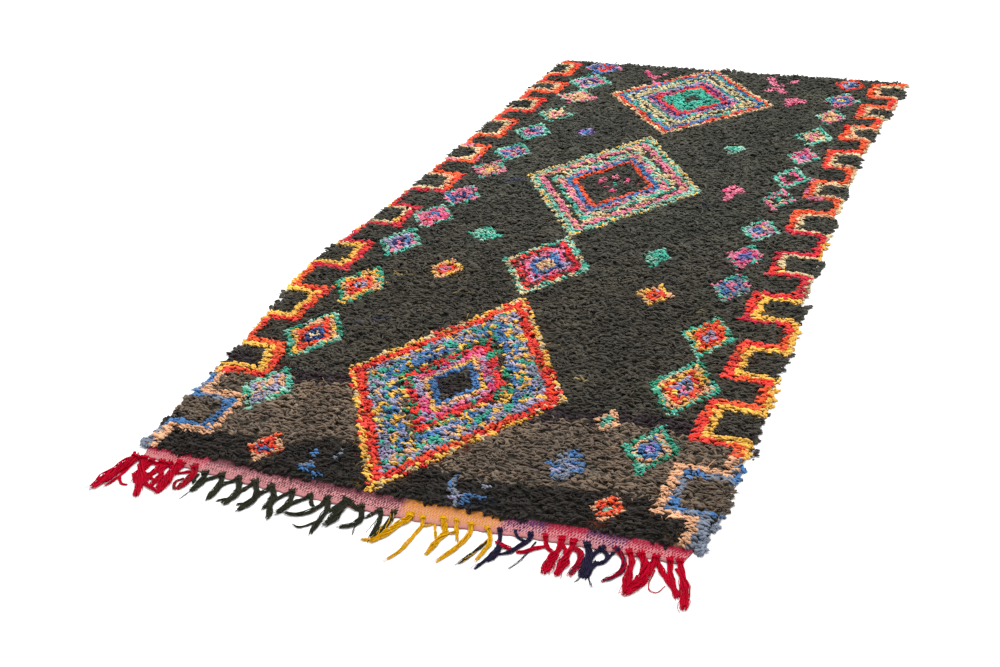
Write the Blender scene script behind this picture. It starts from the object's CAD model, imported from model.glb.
"""A boucherouite rug laid flat: rag pile, flat-woven end and knotted fringe.

Positions in the tables are in centimetres on the pile field's own plan, measured from the
middle of the field, with the fringed end towards -Y. Everything built is in metres.
"""

from __future__ import annotations

import logging
import math
from dataclasses import dataclass, field
from enum import Enum
from typing import Iterable, Mapping, Sequence, Union

import bmesh
import bpy
import numpy as np
from mathutils import Matrix, Vector

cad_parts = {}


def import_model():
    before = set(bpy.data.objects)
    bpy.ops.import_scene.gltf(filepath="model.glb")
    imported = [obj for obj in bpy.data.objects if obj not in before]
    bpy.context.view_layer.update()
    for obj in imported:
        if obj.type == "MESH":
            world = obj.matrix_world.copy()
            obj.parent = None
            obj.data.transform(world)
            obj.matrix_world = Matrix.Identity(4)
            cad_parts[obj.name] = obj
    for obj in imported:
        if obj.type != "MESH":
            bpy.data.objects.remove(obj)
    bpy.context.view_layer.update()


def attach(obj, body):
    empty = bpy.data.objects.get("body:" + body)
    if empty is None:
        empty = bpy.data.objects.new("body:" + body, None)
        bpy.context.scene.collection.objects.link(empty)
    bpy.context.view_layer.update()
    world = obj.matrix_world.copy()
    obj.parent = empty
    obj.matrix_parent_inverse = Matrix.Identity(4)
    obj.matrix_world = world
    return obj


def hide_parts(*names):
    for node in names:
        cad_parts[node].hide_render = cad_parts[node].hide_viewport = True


LOG = logging.getLogger("boucherouite_rug")

CM = 0.01
MM = 0.001
FIELD_MIDDLE = np.array([0.0349, 0.0867])
ROOT_BODY = "root"


class Dye(Enum):
    """The rag and yarn colours, by the letter that the charts use, as sRGB numbers."""

    D = (71, 71, 62)
    W = (118, 107, 92)
    K = (42, 38, 34)
    V = (54, 45, 50)
    R = (246, 58, 44)
    O = (248, 90, 38)
    Y = (248, 190, 74)
    C = (222, 198, 150)
    A = (228, 172, 130)
    P = (232, 124, 152)
    H = (232, 72, 128)
    X = (216, 38, 60)
    T = (70, 180, 156)
    M = (146, 202, 178)
    G = (50, 156, 118)
    B = (70, 122, 178)
    N = (44, 54, 112)
    L = (168, 162, 194)
    S = (122, 131, 148)
    U = (150, 112, 192)
    F = (136, 126, 84)
    Z = (52, 56, 80)

    def linear(self) -> tuple[float, float, float]:
        """The colour as linear light."""
        return tuple(to_linear(channel) for channel in self.value)


def to_linear(channel: float) -> float:
    """One sRGB channel of 0 to 255 as linear light."""
    share = channel / 255.0
    return share / 12.92 if share <= 0.04045 else ((share + 0.055) / 1.055) ** 2.4


DYE_LETTERS = "".join(dye.name for dye in Dye)
DYE_LINEAR = np.array([dye.linear() for dye in Dye])
GROUND_DYES = "DWKVFZ"


def dye_numbers(letters: str) -> list[int]:
    """The colour numbers of a string of dye letters."""
    return [DYE_LETTERS.index(letter) for letter in letters]


def is_ground(dyes: np.ndarray) -> np.ndarray:
    """Which places are in one of the dark ground's dyes."""
    return np.isin(dyes, dye_numbers(GROUND_DYES))


# The dark ground, from the far end: each dye starts below its place along the rug
GROUND_BANDS = ((140.0, "D"), (-88.5, "V"), (-93.5, "W"), (-117.0, "K"))

# The outline of the pile field: (along, left, right)
SELVEDGES = np.array([
    (-129.0, -62.7, 61.8),
    (-115.0, -63.3, 62.8),
    (-100.0, -63.8, 62.7),
    (-85.0, -64.6, 62.2),
    (-70.0, -66.4, 61.4),
    (-55.0, -68.9, 61.0),
    (-40.0, -69.9, 60.2),
    (-25.0, -68.4, 59.4),
    (-10.0, -66.6, 58.7),
    (5.0, -65.6, 57.9),
    (20.0, -64.9, 57.2),
    (50.0, -63.9, 56.2),
    (80.0, -62.8, 56.7),
    (110.0, -61.5, 58.7),
    (129.0, -60.3, 59.6),
])

# Where the pile ends over the flat weave: (across, along)
PILE_EDGE = np.array([
    (-62.0, -128.3), (-40.0, -127.9), (-20.0, -128.8), (0.0, -129.0),
    (20.0, -128.5), (40.0, -127.3), (62.0, -127.8),
])

# Where the flat weave ends: (across, along)
WEAVE_EDGE = np.array([
    (-61.0, -131.2), (-45.0, -132.7), (-30.0, -133.9), (-15.0, -134.2), (0.0, -134.7),
    (10.0, -134.6), (22.0, -133.6), (35.0, -132.7), (47.0, -132.2), (61.0, -131.9),
])
FAR_EDGE = 128.6

# How far past the right selvedge the last knots stand: (along, ground dyes, pattern dyes)
RIGHT_RIM = np.array([
    (-98.0, 0.0, 0.0), (-94.0, 0.15, 0.9), (-50.0, 0.15, 0.9),
    (-42.0, 0.47, 0.9), (-40.0, 0.55, 0.6), (-36.0, 0.55, 0.0),
])

# Tufts that stand up at the far edge: (across, half width, half depth, how much higher)
FAR_TUFTS = ((1.5, 3.4, 1.8, 1.3), (-14.0, 2.6, 1.5, 0.9))

# The crenellated line down each side, from the fringed end: the seam between its two colours
LEFT_COMB = np.array([
    (-60, -133), (-60.4, -119.2), (-51.2, -119.2), (-51.2, -106.2), (-61.5, -106.2),
    (-62, -94.4), (-52.4, -94.4), (-53, -88), (-55.3, -82.4), (-65, -82.2),
    (-65.8, -69), (-58.6, -69), (-58.3, -54.3), (-67.5, -54.2),
    (-69, -40.4), (-59.5, -40.4), (-59.3, -27.1), (-68.2, -27),
    (-67, -12.9), (-58, -12.9), (-58, -2.3), (-66.3, -2.2),
    (-65.6, 11.3), (-54.9, 11.5), (-54.9, 22.5), (-64.6, 22.8),
    (-64.4, 34), (-55.6, 34), (-55.6, 44.6), (-63.6, 44.8),
    (-63.6, 54.6), (-55.3, 54.8), (-55.3, 66.8), (-62.6, 67),
    (-62.4, 77.4), (-53.8, 77.5), (-53.8, 86.8), (-61.4, 87.2),
    (-61.2, 96), (-51.9, 96), (-51.9, 103.5), (-61, 103.8),
    (-60.9, 113), (-54, 113.2), (-54, 123.5), (-60.5, 124), (-60.3, 134),
])
RIGHT_COMB = np.array([
    (58.2, -133), (59.4, -118), (51.4, -117.8), (51.4, -103.9), (61, -103.6),
    (61.2, -91.7), (51.4, -91.6), (51.3, -78.7), (61, -78.4),
    (60.9, -66), (51.4, -65.9), (51.4, -52.6), (60.2, -52.3),
    (60.2, -40), (49, -39.8), (48.9, -28.1), (58.3, -27.9),
    (58, -15.2), (49.2, -15.2), (49, -4.8), (57.8, -4.4),
    (57.6, 9.2), (48, 9.4), (47.8, 20.8), (57, 21.2),
    (56.8, 32), (48, 32), (48, 41.8), (56.5, 42.2),
    (56.3, 54), (48.3, 54), (48.2, 64.3), (56.1, 64.7),
    (56, 76), (49.2, 76), (49.3, 85), (56.6, 85.4),
    (57.4, 94.3), (50.3, 94.3), (50.4, 103.2), (58, 103.5),
    (58.6, 112.6), (50.8, 112.6), (50.6, 122.8), (59, 123.4), (59.6, 134),
])
COMB_WIDTH = 1.95
COMB_REACH = 4.5  # an upright run this near to the selvedge is filled out to it
COMB_RIM_WIDTH = 5.0
COMB_BASE = 90.0  # a place across, well beyond both selvedges


@dataclass(frozen=True)
class CombStretch:
    """The two colours of a comb between one place along the rug and the next."""

    until: float
    field_side: str
    edge_side: str
    edge_width: float = 1.9


COMB_STRETCHES = (
    CombStretch(-119.8, "A", "S"),
    CombStretch(-113.0, "A", "BBS"),
    CombStretch(-97.0, "A", "SSB"),
    CombStretch(-42.5, "RO", "Y"),
    CombStretch(-27.5, "RRX", "Y"),
    CombStretch(12.0, "XXR", "CCY", 1.2),
    CombStretch(30.0, "ORO", "CCA", 1.5),
    CombStretch(46.5, "OOP", "CA", 1.5),
    CombStretch(86.0, "ORO", "CCA", 1.5),
    CombStretch(92.0, "XRO", "C", 1.5),
    CombStretch(140.0, "OOR", "CA", 1.5),
)


@dataclass(frozen=True)
class Lozenge:
    """A diamond of rings: its middle, its half sizes and its rings from the edge inwards."""

    across: float
    along: float
    half_across: float
    half_along: float
    rings: tuple[tuple[float, str], ...]


REST = 99.0
LOZENGES = (
    # The chain of four big diamonds
    Lozenge(-5.0, 97.5, 27.5, 30.5, (
        (1.3, "CCA"), (1.6, "OOR"), (2.2, "BBT"), (1.7, "CCM"), (1.4, "DDC"), (1.6, "C"),
        (1.7, "TTB"), (1.8, "PPL"), (1.5, "NNB"), (2.4, "RHR"), (REST, "T"))),
    Lozenge(-5.0, 98.3, 3.1, 4.6, ((REST, "D"),)),
    Lozenge(-8.0, 27.5, 26.5, 36.5, (
        (1.7, "CCMCY"), (1.5, "TMM"), (2.5, "PPA"), (1.9, "DDDC"), (1.9, "TMC"), (2.5, "PPMA"),
        (2.0, "B"), (1.5, "O"), (REST, "D"))),
    Lozenge(-8.0, -26.0, 12.0, 17.5, (
        (1.9, "TMC"), (2.2, "XRD"), (1.2, "DXP"), (2.0, "PHL"), (1.8, "NBB"), (REST, "ACA"))),
    Lozenge(-6.6, -86.8, 26.7, 42.9, (
        (1.7, "YYRYC"), (2.5, "RORR"), (2.4, "LLSTLY"), (2.8, "TYLTAB"), (2.4, "BBLY"), (2.0, "DGYD"),
        (2.6, "RXG"), (2.4, "HPL"), (1.5, "YA"), (1.6, "B"), (REST, "KD"))),
    # Down the left
    Lozenge(-43.0, 121.5, 7.0, 7.4, ((2.2, "BPL"), (2.5, "NRB"), (REST, "XL"))),
    Lozenge(-43.0, 107.0, 8.0, 8.0, ((2.0, "TM"), (2.6, "PL"), (1.8, "BN"), (REST, "YC"))),
    Lozenge(-42.5, 92.6, 7.4, 6.8, ((1.5, "TPM"), (1.8, "PA"), (REST, "AAC"))),
    Lozenge(-43.8, 76.0, 6.4, 7.2, ((1.8, "TMD"), (1.5, "DC"), (REST, "CAP"))),
    Lozenge(-45.3, 60.0, 6.4, 7.4, ((1.8, "TM"), (2.2, "PLB"), (REST, "NBP"))),
    Lozenge(-45.3, 43.0, 6.4, 7.4, ((1.8, "TM"), (2.4, "PB"), (REST, "PCL"))),
    Lozenge(-46.8, 29.0, 5.6, 7.0, ((1.5, "TP"), (2.0, "PA"), (REST, "PYC"))),
    Lozenge(-47.5, 9.2, 6.2, 8.2, ((1.5, "TPM"), (2.2, "BP"), (REST, "BPN"))),
    Lozenge(-49.6, -6.0, 6.4, 8.2, ((1.5, "TMP"), (2.2, "PH"), (REST, "XBP"))),
    Lozenge(-51.0, -23.5, 6.4, 9.2, ((1.7, "TM"), (1.8, "PL"), (1.7, "BN"), (REST, "XP"))),
    Lozenge(-50.0, -49.0, 7.2, 11.2, (
        (1.4, "GTY"), (1.7, "YA"), (1.9, "RO"), (1.5, "LS"), (REST, "DA"))),
    Lozenge(-49.0, -75.3, 7.8, 12.4, (
        (1.4, "GTM"), (1.6, "YA"), (1.9, "RO"), (1.7, "BN"), (REST, "DAC"))),
    Lozenge(-47.0, -100.2, 6.4, 9.8, ((1.6, "GTM"), (1.8, "MAL"), (REST, "MLA"))),
    # Down the right
    Lozenge(42.0, 121.2, 4.8, 6.8, ((1.8, "OR"), (1.4, "BL"), (REST, "CSB"))),
    Lozenge(42.0, 106.5, 5.8, 7.2, ((1.4, "TPM"), (1.6, "PB"), (1.3, "BN"), (REST, "YC"))),
    Lozenge(41.5, 92.0, 4.8, 6.8, ((1.2, "TPM"), (1.3, "PA"), (REST, "AYC"))),
    Lozenge(39.9, 74.6, 6.2, 7.6, ((1.6, "TM"), (1.5, "DC"), (REST, "CPA"))),
    Lozenge(40.2, 58.8, 4.8, 6.8, ((1.4, "TPM"), (1.7, "HP"), (REST, "NBL"))),
    Lozenge(40.0, 42.4, 5.2, 8.4, ((1.6, "TM"), (1.7, "PHD"), (REST, "D"))),
    Lozenge(40.0, 27.4, 4.6, 7.4, ((1.3, "TP"), (1.6, "PCD"), (REST, "BTD"))),
    Lozenge(40.0, 7.4, 5.2, 7.8, ((1.3, "TM"), (1.7, "PL"), (REST, "BYC"))),
    Lozenge(39.8, -8.8, 5.2, 8.2, ((1.2, "TP"), (1.7, "HP"), (REST, "BUH"))),
    Lozenge(41.0, -26.0, 5.2, 8.2, ((1.3, "TPM"), (1.7, "BS"), (REST, "APB"))),
    Lozenge(42.0, -50.8, 6.2, 10.4, (
        (1.2, "GTM"), (1.4, "YO"), (1.7, "RO"), (1.3, "LS"), (REST, "D"))),
    Lozenge(42.8, -74.0, 8.0, 12.8, (
        (1.5, "GTM"), (1.7, "YA"), (1.8, "ROY"), (1.6, "BPL"), (REST, "PD"))),
    Lozenge(43.0, -99.0, 6.0, 9.8, ((1.5, "GT"), (1.4, "AAM"), (1.6, "BBS"), (REST, "UUL"))),
    # Scattered small motifs
    Lozenge(31.0, -91.8, 3.0, 4.8, ((1.5, "A"), (REST, "MT"))),
    Lozenge(28.3, -109.5, 5.4, 6.4, ((1.7, "BSD"), (REST, "BSL"))),
    Lozenge(-35.0, -121.5, 4.4, 5.6, ((1.6, "AO"), (REST, "RBO"))),
    Lozenge(41.0, -120.6, 3.8, 5.0, ((1.3, "AAO"), (1.5, "RO"), (REST, "MT"))),
    Lozenge(-32.3, -35.0, 4.6, 5.7, ((1.7, "YYA"), (1.4, "RO"), (REST, "PL"))),
    Lozenge(24.0, -34.6, 4.6, 5.7, ((1.7, "YYA"), (1.4, "RO"), (REST, "OL"))),
    Lozenge(-30.6, -13.0, 5.2, 4.6, ((REST, "TTTM"),)),
    Lozenge(18.3, -14.4, 3.2, 6.2, ((REST, "TTM"),)),
    Lozenge(26.2, 30.4, 3.5, 3.7, ((REST, "PPH"),)),
    Lozenge(26.2, 25.6, 1.5, 3.0, ((REST, "P"),)),
    Lozenge(19.0, 60.4, 3.2, 4.8, ((1.3, "CMD"), (REST, "TTS"))),
    Lozenge(-29.0, 63.5, 3.4, 3.6, ((1.3, "UUL"), (REST, "UB"))),
    Lozenge(27.6, 103.2, 4.2, 3.0, ((REST, "P"),)),
    Lozenge(26.6, 100.2, 1.9, 2.8, ((REST, "PH"),)),
    Lozenge(-23.6, -120.6, 1.1, 1.7, ((REST, "B"),)),
    Lozenge(-22.8, -125.2, 1.8, 2.3, ((REST, "BS"),)),
    Lozenge(-19.5, -127.4, 1.7, 1.6, ((REST, "B"),)),
    Lozenge(-18.6, -119.5, 1.1, 1.8, ((REST, "S"),)),
    Lozenge(15.6, -120.4, 1.0, 1.8, ((REST, "SW"),)),
    # Marks in the second diamond's heart
    Lozenge(-11.2, 29.0, 0.9, 3.2, ((REST, "PH"),)),
    Lozenge(-8.6, 32.2, 0.9, 2.2, ((REST, "P"),)),
    Lozenge(-4.6, 30.0, 0.9, 3.4, ((REST, "HP"),)),
    Lozenge(-6.4, 22.6, 1.6, 1.6, ((REST, "HP"),)),
    Lozenge(-9.2, 24.4, 0.8, 1.2, ((REST, "P"),)),
    Lozenge(-7.2, 27.6, 0.8, 1.2, ((REST, "T"),)),
)


@dataclass(frozen=True)
class Stroke:
    """A short straight line of knots in one colour."""

    start: tuple[float, float]
    end: tuple[float, float]
    width: float
    dyes: str


STROKES = (
    Stroke((15.4, 122.0), (22.4, 110.0), 1.5, "P"),
    Stroke((24.0, 121.0), (17.0, 110.6), 1.4, "PDP"),
    Stroke((-27.4, 121.5), (-20.4, 110.8), 1.2, "PDH"),
    Stroke((-19.4, 121.5), (-25.4, 111.0), 1.2, "PD"),
    Stroke((-7.4, -130.5), (-5.0, -125.0), 1.8, "YYC"),
    Stroke((8.4, -119.6), (9.0, -122.4), 0.9, "SB"),
    Stroke((9.6, -124.2), (11.4, -124.6), 0.8, "S"),
    Stroke((10.0, -125.8), (11.8, -125.8), 0.8, "LS"),
    Stroke((11.6, -127.2), (12.0, -128.4), 0.8, "S"),
    Stroke((13.2, -125.2), (16.2, -124.8), 0.9, "B"),
    Stroke((13.7, -125.4), (13.9, -128.0), 0.9, "B"),
    # Faint wisps in the ground
    Stroke((17.0, -77.6), (20.4, -76.6), 0.8, "FD"),
    Stroke((7.0, -64.4), (10.4, -63.6), 0.8, "FD"),
    Stroke((-26.0, -46.2), (-23.0, -45.8), 0.7, "FD"),
    Stroke((36.0, -40.2), (39.4, -39.6), 0.8, "FFD"),
    Stroke((-44.0, -40.6), (-40.6, -39.8), 0.8, "FD"),
    Stroke((-40.0, 22.0), (-36.0, 24.6), 1.6, "ZD"),
    Stroke((22.0, 18.0), (26.0, 20.0), 1.4, "ZD"),
    Stroke((-40.0, -66.4), (-36.0, -63.6), 1.6, "ZD"),
    Stroke((29.0, -86.4), (34.6, -83.6), 1.6, "VD"),
    Stroke((62.8, -123.0), (63.4, -117.0), 1.6, "SSB"),
)


class Chart:
    """The pattern, as a weaver's chart: it gives each knot on the plan its colour."""

    def __init__(self, seed: int = 11) -> None:
        """Sets up the chart's own repeatable unevenness."""
        self.seed = seed

    def chance(self, across: np.ndarray, along: np.ndarray, salt: int) -> np.ndarray:
        """A number from 0 to 1 that neighbouring knots of one rag share.

        Args:
            across: Places across the rug, in centimetres.
            along: Places along the rug, in centimetres.
            salt: Tells one use from another.

        Returns:
            One number for each place.
        """
        column = np.floor(across / 2.1 + 0.37 * salt).astype(np.int64)
        row = np.floor(along / 1.25 + 0.61 * salt).astype(np.int64)
        mixed = column * 73856093 ^ row * 19349663 ^ (self.seed + salt) * 83492791
        mixed = (mixed ^ (mixed >> 13)) * 1274126177
        return ((mixed ^ (mixed >> 16)) & 0xFFFFF) / float(0x100000)

    def pick(self, dyes: str, chance: np.ndarray) -> np.ndarray:
        """Turns chances into colour numbers from a string of dye letters."""
        choices = np.array(dye_numbers(dyes))
        return choices[np.minimum((chance * len(choices)).astype(int), len(choices) - 1)]

    def ground(self, across: np.ndarray, along: np.ndarray) -> np.ndarray:
        """The dark ground with its lighter and darker bands."""
        chance = self.chance(across, along, 1)
        edge = along + 2.2 * np.sin(across * 0.11) + 2.5 * (chance - 0.5)
        dyes = np.zeros(across.shape, dtype=np.int64)
        for top, letter in GROUND_BANDS:
            dyes[edge < top] = DYE_LETTERS.index(letter)
        return dyes

    def comb(self, dyes: np.ndarray, across: np.ndarray, along: np.ndarray,
             seam: np.ndarray, edge_x: float) -> None:
        """Paints one crenellated double line over the chart.

        Args:
            dyes: The colour numbers, changed in place.
            across: Places across the rug, in centimetres.
            along: Places along the rug, in centimetres.
            seam: The seam between the line's two colours.
            edge_x: A place well beyond the selvedge that the comb's base lies on.
        """
        start, end = seam[:-1], seam[1:]
        run = end - start
        place = np.stack([across, along], axis=-1)[:, None, :]
        share = ((place - start) * run).sum(-1) / (run * run).sum(-1)
        nearest = start + np.clip(share, 0, 1)[..., None] * run
        apart = np.abs(place - nearest).max(-1)
        away, closest = apart.min(-1), apart.argmin(-1)
        rim = selvedge(along, edge_x > 0)
        upright = np.abs(run[closest, 0]) < np.abs(run[closest, 1])
        level = np.take_along_axis(share, closest[:, None], axis=1)[:, 0]
        upright &= (level > 0) & (level < 1)
        by_rim = upright & (np.abs(rim - start[closest, 0]) < COMB_REACH)
        ring = np.vstack([seam, [(edge_x, seam[-1][1]), (edge_x, seam[0][1])]])
        low, high = ring, np.roll(ring, -1, axis=0)
        crosses = (low[:, 1] > along[:, None]) != (high[:, 1] > along[:, None])
        rise = np.where(high[:, 1] == low[:, 1], 1.0, high[:, 1] - low[:, 1])
        where = low[:, 0] + (along[:, None] - low[:, 1]) / rise * (high[:, 0] - low[:, 0])
        inside = (crosses & (across[:, None] < where)).sum(-1) % 2 == 1
        chance = self.chance(across / 2.4, along / 3.0, 2)
        since = -200.0
        for stretch in COMB_STRETCHES:
            here = (along > since) & (along <= stretch.until)
            outer = here & ~inside & (away < COMB_WIDTH)
            reach = np.where(by_rim, COMB_RIM_WIDTH, stretch.edge_width)
            inner = here & inside & (away < reach)
            dyes[outer] = self.pick(stretch.field_side, chance[outer])
            dyes[inner] = self.pick(stretch.edge_side, chance[inner])
            since = stretch.until

    def lozenge(self, dyes: np.ndarray, across: np.ndarray, along: np.ndarray,
                shape: Lozenge, number: int) -> None:
        """Paints one diamond's rings over the chart, changing dyes in place."""
        slope = shape.half_across / shape.half_along
        depth = shape.half_across - np.abs(across - shape.across)
        depth = depth - np.abs(along - shape.along) * slope
        ragged = 0.35 * (self.chance(across, along, 3 + number) - 0.5)
        depth = depth + ragged * min(1.0, shape.half_across / 6.0)
        chance = self.chance(across, along, 40 + number)
        start = 0.0
        for width, letters in shape.rings:
            here = (depth > start) & (depth <= start + width)
            dyes[here] = self.pick(letters, chance[here])
            start += width

    def stroke(self, dyes: np.ndarray, across: np.ndarray, along: np.ndarray,
               line: Stroke) -> None:
        """Paints one short straight line over the chart, changing dyes in place."""
        start, end = np.array(line.start), np.array(line.end)
        run = end - start
        place = np.stack([across, along], axis=-1)
        share = np.clip(((place - start) @ run) / (run @ run), 0, 1)
        away = np.linalg.norm(place - (start + share[:, None] * run), axis=-1)
        here = away < line.width / 2 + 0.3
        dyes[here] = self.pick(line.dyes, self.chance(across, along, 5)[here])

    def dye(self, across: np.ndarray, along: np.ndarray) -> np.ndarray:
        """Works out the colour number of every knot.

        Args:
            across: Places across the rug, in centimetres.
            along: Places along the rug, in centimetres.

        Returns:
            A number into DYE_LETTERS for each place.
        """
        dyes = self.ground(across, along)
        ground = dyes.copy()
        self.comb(dyes, across, along, LEFT_COMB, -COMB_BASE)
        self.comb(dyes, across, along, RIGHT_COMB, COMB_BASE)
        for number, shape in enumerate(LOZENGES):
            self.lozenge(dyes, across, along, shape, number)
        for line in STROKES:
            self.stroke(dyes, across, along, line)
        dark = dyes == DYE_LETTERS.index("D")
        dyes[dark] = ground[dark]
        return dyes


def rim_inset(across: np.ndarray, along: np.ndarray) -> np.ndarray:
    """How far the last knots stay inside the selvedge, in centimetres."""
    return 0.35 * smooth_noise(across, along, 5.0, 41)


def to_metres(across: np.ndarray, along: np.ndarray) -> tuple[np.ndarray, np.ndarray]:
    """Turns places on the field's plan into metres in the rug's own frame."""
    return FIELD_MIDDLE[0] + across * CM, FIELD_MIDDLE[1] + along * CM


def selvedge(along: np.ndarray, right: bool) -> np.ndarray:
    """The selvedge's place across the rug, in centimetres, for places along it."""
    return np.interp(along, SELVEDGES[:, 0], SELVEDGES[:, 2 if right else 1])


def pile_edge(across: np.ndarray) -> np.ndarray:
    """Where the pile ends over the flat weave, in centimetres along the rug."""
    return np.interp(across, PILE_EDGE[:, 0], PILE_EDGE[:, 1])


def weave_edge(across: np.ndarray) -> np.ndarray:
    """Where the flat weave ends, in centimetres along the rug."""
    return np.interp(across, WEAVE_EDGE[:, 0], WEAVE_EDGE[:, 1])


def smooth_noise(x: np.ndarray, y: np.ndarray, spacing: float, seed: int) -> np.ndarray:
    """A smooth unevenness from about -1 to 1, made of a few crossing waves.

    Args:
        x: Places across, in any unit.
        y: Places along, in the same unit.
        spacing: The rough distance from one lump to the next.
        seed: Tells one unevenness from another.

    Returns:
        One number for each place.
    """
    rng = np.random.default_rng(seed)
    total = np.zeros_like(x, dtype=float)
    for _ in range(7):
        angle = rng.uniform(0, 2 * math.pi)
        wave = 2 * math.pi / (spacing * rng.uniform(0.7, 1.6))
        phase = rng.uniform(0, 2 * math.pi)
        total += np.sin(wave * (x * math.cos(angle) + y * math.sin(angle)) + phase)
    return total / 3.2


Feed = Union[float, tuple[float, ...], bpy.types.NodeSocket]


class Shading:
    """One new material, with short ways to fill its node tree."""

    def __init__(self, name: str, settings: Mapping[str, Feed]) -> None:
        """Starts the material and sets its shader's own sockets."""
        self.material = bpy.data.materials.new(name)
        self.material.use_nodes = True
        self.tree = self.material.node_tree
        self.shader = self.tree.nodes["Principled BSDF"]
        self.feed(self.shader, settings)

    def feed(self, node: bpy.types.Node, inputs: Mapping[Union[str, int], Feed]) -> None:
        """Gives a node's inputs their numbers, or links them to other sockets."""
        for name, value in inputs.items():
            if isinstance(value, bpy.types.NodeSocket):
                self.tree.links.new(value, node.inputs[name])
            else:
                node.inputs[name].default_value = value

    def add(self, kind: str, inputs: Mapping[Union[str, int], Feed] | None = None,
            **settings: str) -> bpy.types.Node:
        """Adds one node.

        Args:
            kind: The node's type, without the part that all shader nodes share.
            inputs: Numbers or sockets by the input's name.
            **settings: The node's own choices.

        Returns:
            The node.
        """
        node = self.tree.nodes.new("ShaderNode" + kind)
        for name, value in settings.items():
            setattr(node, name, value)
        self.feed(node, inputs or {})
        return node

    def noise(self, place: Feed, scale: float, detail: float) -> bpy.types.NodeSocket:
        """Noise at a place, as a socket."""
        inputs = {"Vector": place, "Scale": scale, "Detail": detail}
        return self.add("TexNoise", inputs).outputs["Fac"]

    def maths(self, operation: str, first: Feed, second: Feed | None = None) -> bpy.types.NodeSocket:
        """One sum on sockets or numbers, as its output socket."""
        inputs = {0: first} if second is None else {0: first, 1: second}
        return self.add("Math", inputs, operation=operation).outputs[0]

    def scaled(self, colour: Feed, scale: Feed) -> None:
        """Makes a colour, lighter or darker by a scale, the material's colour."""
        shade = self.add("VectorMath", {0: colour, "Scale": scale}, operation="SCALE")
        self.feed(self.shader, {"Base Color": shade.outputs["Vector"]})

    def bump(self, height: Feed, strength: float, distance: float) -> None:
        """Gives the material a fine relief."""
        inputs = {"Strength": strength, "Distance": distance, "Height": height}
        relief = self.add("Bump", inputs)
        self.feed(self.shader, {"Normal": relief.outputs["Normal"]})


@dataclass(frozen=True)
class RagFinish:
    """Worn cotton and wool rag: each lock has its own dye, mottled and matt."""

    name: str = "worn_rag"
    attribute: str = "rag_dye"
    roughness: float = 0.93
    mottle: float = 0.2
    mottle_scale: float = 130.0
    fibre_scale: float = 420.0
    fibre_depth: float = 0.35
    sheen: float = 0.04

    def make(self) -> bpy.types.Material:
        """Builds the material.

        Returns:
            A material whose colour comes from the piece's own dye attribute.
        """
        shading = Shading(self.name, {
            "Roughness": self.roughness, "Specular IOR Level": 0.18,
            "Sheen Weight": self.sheen, "Sheen Roughness": 0.6,
        })
        dye = shading.add("Attribute", attribute_name=self.attribute).outputs["Color"]
        place = shading.add("TexCoord").outputs["Object"]
        spread = shading.add("MapRange", {
            "Value": shading.noise(place, self.mottle_scale, 3.0),
            "From Min": 0.3, "From Max": 0.7,
            "To Min": 1.0 - self.mottle, "To Max": 1.0 + self.mottle * 0.5,
        })
        shading.scaled(dye, spread.outputs["Result"])
        shading.bump(shading.noise(place, self.fibre_scale, 4.0), self.fibre_depth, 0.6 * MM)
        return shading.material


@dataclass(frozen=True)
class YarnFinish:
    """Plied wool yarn: one dye, darker in its grooves, with a little fuzz."""

    name: str
    colour: tuple[float, float, float]
    shades: tuple[float, float] = (0.55, 1.15)
    roughness: float = 0.85
    streak_scale: float = 320.0
    streak_depth: float = 0.5

    def make(self) -> bpy.types.Material:
        """Builds the material.

        Returns:
            A material in one dye with fine streaks on Object coordinates.
        """
        shading = Shading(self.name, {"Roughness": self.roughness, "Specular IOR Level": 0.06})
        place = shading.add("TexCoord").outputs["Object"]
        streak = shading.noise(place, self.streak_scale, 4.0)
        ramp = shading.add("ValToRGB", {"Fac": streak})
        for element, stop, shade in zip(ramp.color_ramp.elements, (0.32, 0.68), self.shades):
            element.position = stop
            element.color = (*(min(1.0, c * shade) for c in self.colour), 1.0)
        shading.feed(shading.shader, {"Base Color": ramp.outputs["Color"]})
        shading.bump(streak, self.streak_depth, 0.5 * MM)
        return shading.material


def new_object(name: str, mesh: bpy.types.Mesh,
               *materials: bpy.types.Material) -> bpy.types.Object:
    """Links a mesh into the scene as a smooth-shaded object.

    Args:
        name: The piece's name.
        mesh: Its mesh, in metres in the rug's frame.
        materials: Its materials, in slot order.

    Returns:
        The new object, at the origin.
    """
    for material in materials:
        mesh.materials.append(material)
    mesh.polygons.foreach_set("use_smooth", np.ones(len(mesh.polygons), dtype=bool))
    mesh.update()
    piece = bpy.data.objects.new(name, mesh)
    bpy.context.scene.collection.objects.link(piece)
    return piece


def paint(mesh: bpy.types.Mesh, name: str, colours: np.ndarray) -> None:
    """Stores one linear colour on each vertex of a mesh."""
    layer = mesh.color_attributes.new(name, "FLOAT_COLOR", "POINT")
    rgba = np.ones((len(mesh.vertices), 4), dtype=np.float32)
    rgba[:, :3] = colours
    layer.data.foreach_set("color", rgba.ravel())


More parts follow.
